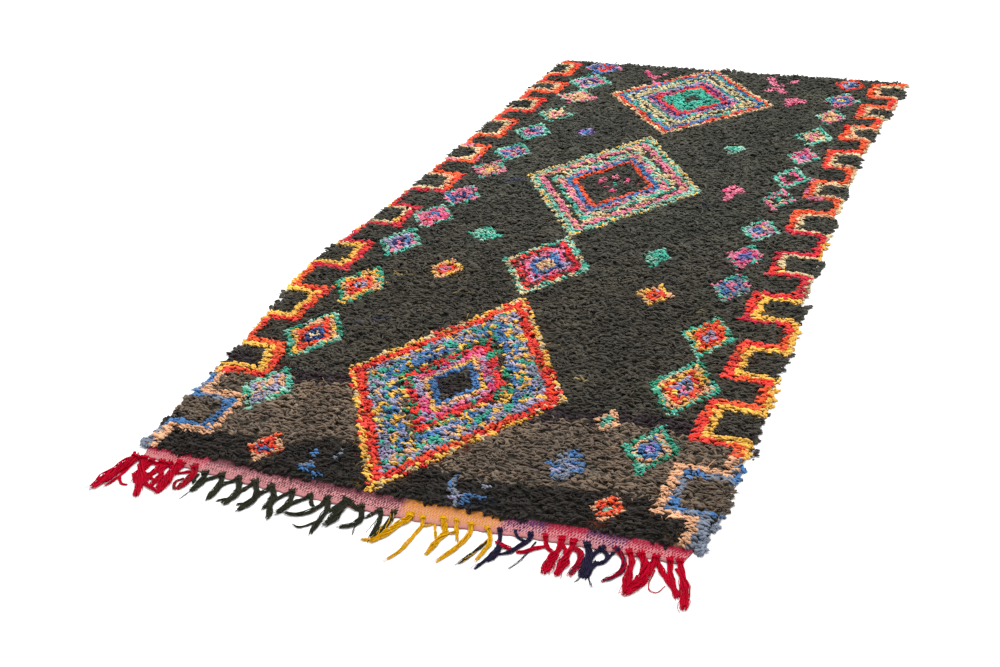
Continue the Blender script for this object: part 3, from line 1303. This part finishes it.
FRINGE_RUNS = (
    FringeRun("red_left_warp_ends", "fringe_red_left", "red_warp_left", (
        Tassel(((-60.4, -132), (-61, -135), (-61.8, -138), (-62.4, -141.6), (-62.8, -145.6)),
               3, 15, "X", neck=0.85),
        Tassel(((-60.2, -133.4), (-59.9, -137), (-60.2, -140.4), (-60.8, -143.6)),
               0.7, 4, "X", False),
        Tassel(((-60.6, -137), (-59.8, -139.8), (-57.9, -141.7), (-56, -141.1)),
               0.6, 4, "X", False),
        Tassel(((-58.8, -131.8), (-57.8, -134.6), (-55.6, -137.6), (-53.8, -141), (-52, -144.8)),
               2, 10, "X"),
        Tassel(((-56.6, -132), (-56.2, -134.6), (-57.2, -137.2), (-55.4, -141)), 1.4, 7, "X"),
        Tassel(((-54.2, -131.9), (-53.4, -134.6), (-54, -137.6), (-53.2, -141.2)), 1.7, 8, "X"),
        Tassel(((-52, -132), (-52.8, -134.6), (-51.2, -137), (-51.8, -141.4)), 1.5, 8, "X"),
        Tassel(((-49.6, -131.6), (-49.9, -135), (-49.2, -138.4), (-48.4, -142.6)),
               2.6, 13, "X", neck=0.8),
        Tassel(((-57.8, -137.6), (-54.6, -139.2), (-51.4, -140.6), (-48.6, -141.6)),
               1.1, 6, "X", False),
        Tassel(((-61.6, -132.5), (-58, -132.9), (-54, -133.1), (-50, -132.7), (-47.8, -132.3)),
               1.3, 8, "X", False),
        Tassel(((-58.6, -134.4), (-56, -136.4), (-53, -138), (-50.4, -138.4)), 0.9, 5, "X", False),
        Tassel(((-49.2, -134.9), (-47.6, -134.2), (-45.2, -132.8)), 0.9, 5, "X", False),
        Tassel(((-46.2, -131.8), (-44.9, -134), (-44.9, -137), (-45.6, -140.2)), 1.9, 9, "XXE"),
        Tassel(((-46.4, -135.8), (-47.4, -137.4), (-46.6, -139.4), (-45.6, -140.2)),
               0.7, 4, "XE", False),
    )),
    FringeRun("dark_green_warp_ends", "fringe_dark_green", "dark_green_warp", (
        Tassel(((-42.9, -132.9), (-42.2, -134.6), (-41.9, -137), (-42.4, -140)),
               1.8, 8, "E", neck=0.7),
        Tassel(((-44.2, -133.6), (-44, -135.4), (-43.2, -137)), 0.8, 4, "E", False),
        Tassel(((-42.4, -138), (-42.8, -140.5), (-43.2, -142.3)), 0.3, 2, "E", False),
        Tassel(((-39.4, -132.9), (-40.4, -134), (-41.6, -135.2), (-41.8, -137)),
               1.2, 6, "E", False),
        Tassel(((-39, -132.5), (-38, -134.6), (-37.4, -137.6), (-37.8, -141.5)),
               1.8, 8, "E", neck=0.6),
        Tassel(((-34.7, -132.9), (-35.8, -133.9), (-37.1, -135), (-37.4, -137.2)),
               1.1, 6, "E", False),
        Tassel(((-34.9, -132.6), (-33.4, -135.2), (-32.4, -137.8), (-33.4, -142)),
               1.8, 8, "E", neck=0.6),
        Tassel(((-33, -139.2), (-34.4, -139.8), (-35.4, -140.7)), 0.6, 4, "E", False),
        Tassel(((-31, -133.1), (-31.4, -134.4), (-32.1, -135.4), (-32.2, -137.4)),
               1.1, 6, "E", False),
        Tassel(((-27, -133.3), (-27, -134.7), (-28, -135.4), (-28.2, -137)), 1.3, 6, "E", False),
        Tassel(((-30.9, -132.6), (-29.4, -134.8), (-27.8, -137), (-28.4, -139.6), (-29.6, -142.6)),
               1.9, 8, "E", neck=0.6),
        Tassel(((-28.4, -139), (-29.8, -139.8), (-30.6, -140.8)), 0.6, 4, "E", False),
        Tassel(((-27, -133), (-25.2, -135), (-24, -137), (-24.6, -140.4)), 1.9, 8, "E", neck=0.6),
        Tassel(((-24.6, -136.6), (-23.9, -138.8), (-22.8, -141), (-21.9, -143.3)),
               1.3, 6, "E", False),
        Tassel(((-21.9, -133.2), (-21, -135), (-20.2, -138), (-21.6, -141)),
               1.7, 8, "E", neck=0.65),
        Tassel(((-22, -133.8), (-23.2, -135.2), (-23.8, -137)), 1.1, 5, "E", False),
        Tassel(((-17.2, -133.4), (-18.6, -135.2), (-19.8, -136.2), (-20.2, -138)),
               1.1, 6, "E", neck=0.9),
        Tassel(((-17, -133.8), (-16.4, -135.4), (-15, -136.6)), 0.9, 5, "E", False),
        Tassel(((-13.6, -133), (-13.9, -135.8), (-15.2, -138.6), (-17.2, -140.2), (-20.4, -139.8)),
               1.4, 7, "E", neck=0.8),
        Tassel(((-13.2, -134.2), (-12, -136.4), (-11.7, -140.6), (-11.6, -145.3)),
               1.2, 6, "E", False, neck=0.9),
        Tassel(((-12, -139.4), (-12.7, -141.4), (-14.6, -143.5), (-16.5, -142.7)),
               0.55, 4, "E", False),
        Tassel(((-9.4, -133), (-10.6, -134.6), (-11.6, -137.4)), 1.1, 6, "E", False),
        Tassel(((-9.2, -132.9), (-9.6, -136), (-9.2, -139), (-10.2, -142)), 2.2, 9, "E", neck=0.9),
        Tassel(((-9, -133), (-7.4, -134.2), (-5, -135.6)), 1.1, 6, "E", False),
        Tassel(((-5.9, -133.6), (-4.6, -135.8), (-3.8, -137.8), (-4.8, -139.8), (-7.4, -141.2)),
               1.5, 7, "E", neck=0.75),
        Tassel(((-4.2, -138.6), (-4, -140.4), (-3.4, -142.3)), 0.35, 2, "E", False),
        Tassel(((-1.7, -133.8), (-3, -135.6), (-3.7, -137)), 0.8, 4, "E", False),
        Tassel(((-1.7, -133.6), (-0.5, -136), (0.1, -139), (0.1, -142.4)), 1.1, 6, "E"),
        Tassel(((1.3, -133.4), (1.7, -136), (1.4, -139), (0.5, -143.4)), 1.4, 8, "EEEY"),
        Tassel(((-1.2, -135.2), (-1.15, -138), (-1.1, -141)), 0.2, 1, "E", False),
    )),
    FringeRun("yellow_warp_ends", "fringe_yellow", "yellow_warp", (
        Tassel(((4.8, -133.2), (5.2, -135), (3.6, -136.2), (3.2, -138.4), (2, -141.2), (0.2, -143.9)),
               1.7, 9, "Y", neck=0.9),
        Tassel(((1.6, -142), (0.2, -143), (-1.3, -143.1)), 0.8, 4, "Y", False),
        Tassel(((7.4, -133.2), (8.4, -135.4), (8, -139), (7.4, -144.4), (5.9, -147.7)),
               0.9, 5, "Y", neck=0.85),
        Tassel(((8.2, -135.6), (9.4, -135.4), (10.2, -134.6)), 0.6, 3, "Y", False),
        Tassel(((11.4, -132.2), (12.6, -134.6), (14, -137)), 1.2, 6, "Y", neck=0.9),
        Tassel(((10.6, -134.6), (11.6, -136.6), (12.8, -138.8)), 0.6, 3, "Y", False),
        Tassel(((13.9, -136), (13.3, -138.4), (13.1, -141), (13, -144.3)),
               1.3, 7, "Y", False, neck=0.9),
        Tassel(((15.3, -134.4), (15.2, -135.9), (13.9, -136.5)), 0.8, 4, "Y", False),
        Tassel(((14, -131.8), (15, -134), (16, -136), (17.3, -138.6)), 0.7, 4, "Y", neck=0.9),
        Tassel(((17.4, -132.4), (18.3, -134.8), (17.8, -138.6), (16.6, -142), (15.3, -146)),
               1.1, 6, "Y", neck=0.85),
        Tassel(((20.7, -132.6), (22.2, -134.2), (23.1, -136.4), (22.7, -142.6)),
               0.95, 5, "Y", neck=0.85),
        Tassel(((22.4, -135.8), (21.8, -138.4), (20.8, -141.6), (19.4, -144.7)),
               0.8, 5, "EEY", False),
    )),
    FringeRun("inner_navy_warp_ends", "fringe_navy_inner", "navy_warp_inner", (
        Tassel(((23.4, -132.4), (24.4, -134.6), (25.2, -137.4), (24.6, -140.6), (23, -145.4)),
               0.95, 6, "N", neck=0.8),
        Tassel(((24, -135.8), (26, -136.9), (28.2, -137.5)), 1.1, 6, "X", False),
        Tassel(((26.4, -131.8), (26.8, -133.2), (28.6, -134.2), (30, -133.6)), 0.7, 4, "N", False),
        Tassel(((25.4, -137.4), (25.6, -139.8), (24.6, -142.4)), 1.1, 6, "N", False, neck=0.9),
        Tassel(((29.5, -131.8), (30.1, -133.6), (28.7, -135.8), (27.8, -138.2), (25.4, -139.6)),
               1.1, 6, "N", neck=0.85),
        Tassel(((31.2, -133.6), (31, -137), (30.4, -140), (29.3, -142.8)), 0.5, 3, "N", False),
        Tassel(((33.8, -134.2), (31.6, -135.8), (30, -137.4), (28.2, -137.7)), 1.1, 6, "X", False),
    )),
    FringeRun("inner_red_warp_ends", "fringe_red_inner", "red_warp_inner", (
        Tassel(((32.3, -131.4), (33.4, -134), (34.6, -135.2), (36, -136.4)), 0.9, 5, "X", neck=0.9),
        Tassel(((35.8, -131.4), (36.2, -134.6), (35.9, -138), (36.4, -142.7)),
               2.3, 10, "X", neck=0.42),
        Tassel(((36.2, -132.8), (37.4, -134), (38, -136)), 0.9, 5, "X", False),
        Tassel(((38.2, -131.6), (38.2, -135), (38.5, -138.5), (38.4, -142.5)),
               2.2, 10, "X", neck=0.42),
        Tassel(((38.6, -133.2), (40.4, -134.2), (41.1, -136.4), (41, -138.8), (40.4, -141.4)),
               1.4, 8, "XXN", False, neck=0.8),
    )),
    FringeRun("outer_navy_warp_ends", "fringe_navy_outer", "navy_warp_outer", (
        Tassel(((40.8, -131.6), (42, -134), (43, -137), (43.3, -141.8)), 1.6, 8, "N", neck=0.75),
        Tassel(((44.2, -131.6), (43, -133.4), (42.6, -136), (42.8, -138.6)), 1.1, 6, "N", neck=0.9),
        Tassel(((44, -132.4), (45.5, -133.2), (45.8, -135.2), (44.8, -136.4), (43, -136.8)),
               1, 6, "N", False),
        Tassel(((44.2, -135.8), (43.7, -138), (44, -141.2)), 1.1, 6, "N", False, neck=0.9),
        Tassel(((41.8, -135.4), (42.2, -138), (42.5, -140.8)), 0.8, 5, "N", False, neck=0.9),
        Tassel(((46.2, -132.4), (45.7, -134.2), (45.6, -136)), 0.8, 4, "N", False),
        Tassel(((43.4, -138.4), (44.2, -140.8), (45.7, -142.9)), 0.45, 3, "N", False),
        Tassel(((42.9, -139.4), (42.6, -141.4), (42, -142.4)), 0.4, 3, "N", False),
        Tassel(((46.2, -131.4), (47.8, -132.4), (49, -134.2), (49.6, -136.6), (48.7, -139),
                (46.2, -141.4)), 1.1, 6, "NX", neck=0.85),
    )),
    FringeRun("red_right_warp_ends", "fringe_red_right", "red_warp_right", (
        Tassel(((48.9, -131.3), (50.3, -133.8), (50.7, -137.6), (51.8, -143.4)),
               1.7, 9, "X", neck=0.6),
        Tassel(((51.2, -131.5), (53, -133.8), (53.8, -137), (53.4, -140), (52, -143.4)),
               2.2, 11, "X", neck=0.65),
        Tassel(((53.4, -138), (52.8, -140.6), (52, -143.5)), 2, 10, "X", False, neck=0.9),
        Tassel(((54.2, -131.3), (54.1, -134.4), (54.1, -137.4), (53.6, -141)),
               1.6, 8, "X", neck=0.8),
        Tassel(((54.4, -132), (56, -134.6), (58, -137), (60, -139.2), (61.6, -141.4)),
               1.2, 6, "X", False, neck=0.9),
        Tassel(((55, -134.8), (54.9, -138.6), (55.5, -140.8), (57.2, -141), (58.1, -138.4)),
               0.3, 2, "X", False),
        Tassel(((56.8, -131.2), (57.6, -134.4), (59.2, -137.8), (61.4, -141.6)),
               1.3, 7, "X", neck=0.8),
        Tassel(((58.6, -131.1), (59.8, -134.4), (61.5, -138), (62.7, -141.8), (63, -144.7)),
               1.9, 10, "X", neck=0.6),
        Tassel(((58.4, -133.4), (60.2, -135.2), (61.9, -137)), 0.6, 3, "X", False),
    )),
)


FULL_WIDTH = 0.55  # a bunch at least this wide, in centimetres, is a full tassel


@dataclass
class Lay:
    """Where one tassel lies, step by step along it.

    Attributes:
        bunch: The tassel.
        full: Whether it is more than a few stray yarns.
        path: Its places on the plan, in centimetres.
        length: Its length, in metres.
        share: How far along it each step is, from 0 to 1.
        middle: Its middle line, in metres.
        side: The direction to its left.
        half: Half its width, in metres.
        on_band: How far the woven band lifts it, in metres.
    """

    bunch: Tassel
    full: bool
    path: Sequence[tuple[float, float]]
    length: float
    share: np.ndarray
    middle: np.ndarray
    side: np.ndarray
    half: np.ndarray
    on_band: np.ndarray

    def beside(self, away: np.ndarray, height: np.ndarray) -> np.ndarray:
        """The points at a distance beside the middle line and at a height, in metres."""
        return np.column_stack([self.middle + self.side * away[:, None], height])


@dataclass
class Fringe:
    """The knotted and loose warp ends, each a kinked yarn lying on the floor."""

    yarn_radius: float = 1.1 * MM
    points: int = 17
    wisps: int = 2
    lift: float = 0.3 * MM
    band_height: float = 3.3 * MM
    kink: float = 0.28 * MM
    seed: int = 9
    finishes: dict[str, bpy.types.Material] = field(default_factory=dict)

    def line(self, path: Sequence[tuple[float, float]], steps: int) -> np.ndarray:
        """A smooth line through a tassel's places, evenly stepped, in metres.

        Args:
            path: Places on the plan, in centimetres.
            steps: How many points to return.

        Returns:
            The points, by step.
        """
        spots = np.array(path, dtype=float)
        walked = np.concatenate([[0], np.cumsum(np.linalg.norm(np.diff(spots, axis=0), axis=1))])
        at = np.linspace(0, walked[-1], steps)
        rough = np.stack([np.interp(at, walked, spots[:, axis]) for axis in (0, 1)], axis=-1)
        for _ in range(2):
            rough[1:-1] = rough[1:-1] * 0.5 + (rough[:-2] + rough[2:]) * 0.25
        x, y = to_metres(rough[:, 0], rough[:, 1])
        return np.stack([x, y], axis=-1)

    def spline(self, curve: bpy.types.Curve, points: np.ndarray, radii: np.ndarray,
               slot: int) -> None:
        """Adds one yarn to a curve object."""
        made = curve.splines.new("POLY")
        made.points.add(len(points) - 1)
        made.material_index = slot
        made.use_smooth = True
        for knot, place, radius in zip(made.points, points, radii):
            knot.co = (*place, 1.0)
            knot.radius = radius

    def lay(self, bunch: Tassel, thick: float, rng: np.random.Generator) -> Lay:
        """Works out where a tassel lies and how wide it is along its length.

        Args:
            bunch: The tassel.
            thick: The radius of its yarns, in metres.
            rng: The source of unevenness.

        Returns:
            The tassel's lay.
        """
        path = bunch.path
        if bunch.tied:
            (x0, y0), (x1, _) = path[:2]
            path = ((x0 - 0.1 * (x1 - x0), y0 + 0.1), *path)
        length = sum(math.dist(a, b) for a, b in zip(path, path[1:])) * CM
        steps = int(np.clip(length / CM * 1.1 + 5, 9, self.points))
        share = np.linspace(0, 1, steps)
        middle = self.line(path, steps)
        middle[2:] += np.cumsum(rng.normal(0, self.kink, (steps - 2, 2)), axis=0)
        tie = 1.0 * CM / length
        run = np.gradient(middle, axis=0)
        run /= np.maximum(np.linalg.norm(run, axis=1, keepdims=True), 1e-9)
        side = np.stack([-run[:, 1], run[:, 0]], axis=-1)
        across, along = ((middle[:, axis] - FIELD_MIDDLE[axis]) / CM for axis in (0, 1))
        on_band = np.clip((along - weave_edge(across)) / 0.5 + 0.6, 0, 1) * self.band_height
        neck = bunch.neck
        body = np.interp(share, (0.0, 0.35, 0.6, 0.86, 1.0), (neck, neck, 1.0, 1.0, 0.72))
        body = body * (1 + 0.14 * np.sin(share * rng.uniform(12, 22) + rng.uniform(0, 6.28)))
        if bunch.tied:
            pinch = np.exp(-((share - tie) * length / (0.5 * CM)) ** 2)
            body = body * (1 - 0.2 * pinch) + np.clip(1 - share / tie, 0, 1) * 0.3
        half = body * (bunch.width / 2 * CM - thick * 0.6)
        return Lay(bunch, bunch.width >= FULL_WIDTH, path, length, share, middle, side, half, on_band)

    def tassel(self, curve: bpy.types.Curve, bunch: Tassel, slots: dict[str, int],
               rng: np.random.Generator) -> None:
        """Lays the yarns of one tassel and ties its knot.

        Args:
            curve: The curve object's data that takes the yarns.
            bunch: The tassel.
            slots: The material slot of each yarn colour.
            rng: The source of unevenness.
        """
        thick = self.yarn_radius * (1.0 if bunch.width >= FULL_WIDTH else 0.7)
        lay = self.lay(bunch, thick, rng)
        turns = rng.uniform(3.0, 6.0) * rng.choice((-1, 1))
        yarn_slots = [slots[letter] for letter in bunch.colours]
        if lay.full:
            self.cores(curve, lay, yarn_slots, rng)
        self.yarns(curve, lay, thick, turns, yarn_slots, rng)
        for _ in range(self.wisps * lay.full):
            self.wisp(curve, lay, yarn_slots[0], rng)
        if bunch.tied:
            self.knot(curve, lay, yarn_slots[0], rng)

    def cores(self, curve: bpy.types.Curve, lay: Lay, yarn_slots: list[int],
              rng: np.random.Generator) -> None:
        """Fills a tassel with three thick strands that its yarns lie round."""
        for way in (-1, 0, 1):
            wave = way * 0.4 * lay.half + 0.5 * MM * np.sin(lay.share * 17 + way)
            stop = len(lay.share) - rng.integers(1, 3)
            core = (0.34 * lay.half * rng.uniform(0.85, 1.1) + 0.2 * MM)[:stop]
            points = lay.beside(wave, lay.on_band + self.lift)[:stop]
            points[:, 2] += core
            self.spline(curve, points, core * np.linspace(1, 0.6, len(core)),
                        yarn_slots[way % len(yarn_slots)])

    def yarns(self, curve: bpy.types.Curve, lay: Lay, thick: float, turns: float,
              yarn_slots: list[int], rng: np.random.Generator) -> None:
        """Lays a tassel's yarns, twisted round each other and parted in three at its end.

        Args:
            curve: The curve object's data that takes the yarns.
            lay: Where the tassel lies.
            thick: The radius of a yarn, in metres.
            turns: How far the yarns wind round the tassel, as an angle.
            yarn_slots: The material slots of the tassel's colours, in their order.
            rng: The source of unevenness.
        """
        full, half, share = lay.full, lay.half, lay.share
        count = int(lay.bunch.yarns * 1.7) if full else lay.bunch.yarns
        parts = rng.uniform(-1, 1, 3)
        ends = rng.uniform(0.93, 1.0, 3)
        gather = np.clip((share - 0.6) / 0.4, 0, 1) ** 1.4 * 0.75 * full
        for number in range(count):
            angle = math.tau * number / count + turns * share + rng.normal(0, 0.25)
            kink = rng.uniform(0.3, 1.0) * MM * np.sin(
                share * lay.length * rng.uniform(120, 300) + rng.uniform(0, 6.28))
            away = half * (np.cos(angle) * (1 - gather) + parts[number % 3] * gather) + kink
            away = away + np.clip(share - 0.5, 0, 1) * rng.normal(0, 2.0) * MM * full
            rise = half * 0.42 * (1 + np.sin(angle)) * np.clip(1.35 - share, 0.5, 1)
            reach = ends[number % 3] * rng.uniform(0.92, 1.0) if full else 1.0
            cut = max(5, int(round(len(share) * reach)))
            radii = thick * rng.uniform(0.85, 1.15) * (1 - 0.45 * np.linspace(0, 1, cut) ** 3)
            points = lay.beside(away, thick + self.lift + rise + lay.on_band)[:cut]
            self.spline(curve, points, radii, yarn_slots[number % len(yarn_slots)])

    def wisp(self, curve: bpy.types.Curve, lay: Lay, slot: int, rng: np.random.Generator) -> None:
        """Lays one thin loose yarn that wanders beside a tassel."""
        at = np.linspace(rng.uniform(0.1, 0.5), rng.uniform(0.8, 1.04), 9)
        spots = np.stack([np.interp(at, lay.share, lay.middle[:, axis]) for axis in (0, 1)], axis=-1)
        edge = rng.choice((-1, 1)) * lay.bunch.width / 2 * CM
        swing = edge * rng.uniform(0.7, 1.25) * np.sin(
            np.linspace(0, rng.uniform(2, 7), len(at)) + rng.uniform(0, 3))
        level = np.interp(at, lay.share, lay.on_band) + rng.uniform(1.5, 5.5) * MM
        points = np.column_stack([spots + lay.side[-1] * swing[:, None], level])
        self.spline(curve, points, np.full(len(at), self.yarn_radius / 2), slot)

    def knot(self, curve: bpy.types.Curve, lay: Lay, slot: int, rng: np.random.Generator) -> None:
        """Winds yarn round a tassel where it is knotted, on the band's edge."""
        middle = self.line(lay.path, 40)
        length = np.linalg.norm(np.diff(middle, axis=0), axis=1).sum()
        at = int(min(0.5, 1.0 * CM / length) * 39)
        run = middle[min(at + 2, 39)] - middle[max(at - 2, 0)]
        run /= max(np.linalg.norm(run), 1e-9)
        side = np.array([-run[1], run[0]])
        half = (0.4 * lay.bunch.width * max(lay.bunch.neck, 0.5) + 0.12) * CM
        turns = np.linspace(0, 4.4 * math.pi, 26)
        along = (turns / turns[-1] - 0.5) * 5.0 * MM
        spin = rng.uniform(0, 6.28)
        points = np.column_stack([
            middle[at] + run * along[:, None] + side * (half * np.cos(turns + spin))[:, None],
            np.maximum(2.6 * MM, 6.0 * MM + (0.5 * half + 1.0 * MM) * np.sin(turns + spin)),
        ])
        self.spline(curve, points, np.full(len(points), self.yarn_radius * 1.5), slot)

    def build(self) -> list[tuple[bpy.types.Object, FringeRun]]:
        """Builds every run of fringe.

        Returns:
            Each run's piece with the run that it was built from.
        """
        rng = np.random.default_rng(self.seed)
        made = []
        for run in FRINGE_RUNS:
            letters = sorted({letter for bunch in run.tassels for letter in bunch.colours})
            curve = bpy.data.curves.new(run.name, "CURVE")
            curve.dimensions = "3D"
            curve.bevel_depth = 1.0
            curve.bevel_resolution = 0
            curve.use_fill_caps = True
            slots = {letter: number for number, letter in enumerate(letters)}
            for letter in letters:
                curve.materials.append(self.finish(letter))
            for bunch in run.tassels:
                self.tassel(curve, bunch, slots, rng)
            holder = bpy.data.objects.new(run.name + "_line", curve)
            bpy.context.scene.collection.objects.link(holder)
            bpy.context.view_layer.update()
            shape = holder.evaluated_get(bpy.context.evaluated_depsgraph_get())
            mesh = bpy.data.meshes.new_from_object(shape)
            bpy.data.objects.remove(holder)
            mesh.name = run.name
            piece = new_object(run.name, mesh)
            made.append((piece, run))
        return made

    def finish(self, letter: str) -> bpy.types.Material:
        """The material of one yarn colour, made once."""
        if letter not in self.finishes:
            self.finishes[letter] = YarnFinish(
                f"warp_yarn_{letter.lower()}", YARN_COLOURS[letter],
                (0.5, 1.9) if letter in "EN" else (0.55, 1.15)).make()
        return self.finishes[letter]


@dataclass
class Studio:
    """The pale floor, the soft light and the camera."""

    lens: float = 51.63
    place: tuple[float, float, float] = (1.2229, -3.2328, 1.668)
    turns: tuple[float, float, float] = (0.432848, 1.061147, -0.0781783)

    def build(self) -> None:
        """Builds the floor, lights and camera."""
        bm = bmesh.new()
        bmesh.ops.create_grid(bm, x_segments=2, y_segments=2, size=9.0)
        mesh = bpy.data.meshes.new("studio_floor")
        bm.to_mesh(mesh)
        bm.free()
        floor = Shading("pale_floor", {
            "Base Color": (0.9, 0.9, 0.9, 1.0), "Roughness": 0.9, "Specular IOR Level": 0.1})
        new_object("studio_floor", mesh, floor.material)
        bpy.context.scene.view_settings.view_transform = "Standard"
        world = bpy.data.worlds.new("studio_air")
        world.use_nodes = True
        world.node_tree.nodes["Background"].inputs["Color"].default_value = (1, 1, 1, 1)
        world.node_tree.nodes["Background"].inputs["Strength"].default_value = 0.95
        bpy.context.scene.world = world
        self.light("overhead_softbox", (0.3, 0.6, 3.2), (0.0, 0.0, 0.0), 2.4, 105.0)
        self.light("side_softbox", (-2.6, 1.4, 2.0), (0.0, 0.0, 0.0), 1.6, 50.0)
        camera = bpy.data.cameras.new("view")
        camera.lens = self.lens
        camera.sensor_width = 36.0
        camera.clip_end = 60.0
        holder = bpy.data.objects.new("view", camera)
        yaw, tilt, roll = self.turns
        spin = (
            Matrix.Rotation(yaw, 4, "Z") @ Matrix.Rotation(tilt, 4, "X")
            @ Matrix.Rotation(roll, 4, "Z")
        )
        holder.matrix_world = Matrix.Translation(self.place) @ spin
        bpy.context.scene.collection.objects.link(holder)
        bpy.context.scene.camera = holder

    def light(self, name: str, place: Iterable[float], aim: Iterable[float], size: float,
              power: float) -> None:
        """Hangs one square soft light.

        Args:
            name: The light's name.
            place: Where it hangs, in metres.
            aim: The point that it faces.
            size: The length of its side.
            power: Its power, in watts.
        """
        lamp = bpy.data.lights.new(name, "AREA")
        lamp.size = size
        lamp.energy = power
        holder = bpy.data.objects.new(name, lamp)
        away = Vector(aim) - Vector(place)
        holder.matrix_world = (
            Matrix.Translation(Vector(place)) @ away.to_track_quat("-Z", "Y").to_matrix().to_4x4()
        )
        bpy.context.scene.collection.objects.link(holder)


def main() -> None:
    """Builds the rug piece by piece and reports each."""
    logging.basicConfig(level=logging.INFO, format="%(message)s")
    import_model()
    Studio().build()
    LOG.info("studio ready")
    chart = Chart()
    ground = GroundCloth(chart).build()
    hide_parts("pile_field")
    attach(ground, ROOT_BODY)
    LOG.info("%s built", ground.name)
    pile = RagPile(chart).build()
    for band in pile:
        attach(band, ROOT_BODY)
        LOG.info("%s built with %d faces", band.name, len(band.data.polygons))
    woven = WovenEnd().build()
    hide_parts("woven_end")
    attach(woven, ROOT_BODY)
    LOG.info("%s built", woven.name)
    for piece, run in Fringe().build():
        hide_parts(run.node)
        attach(piece, ROOT_BODY)
        LOG.info("%s built with %d faces", piece.name, len(piece.data.polygons))


if __name__ == "__main__":
    main()
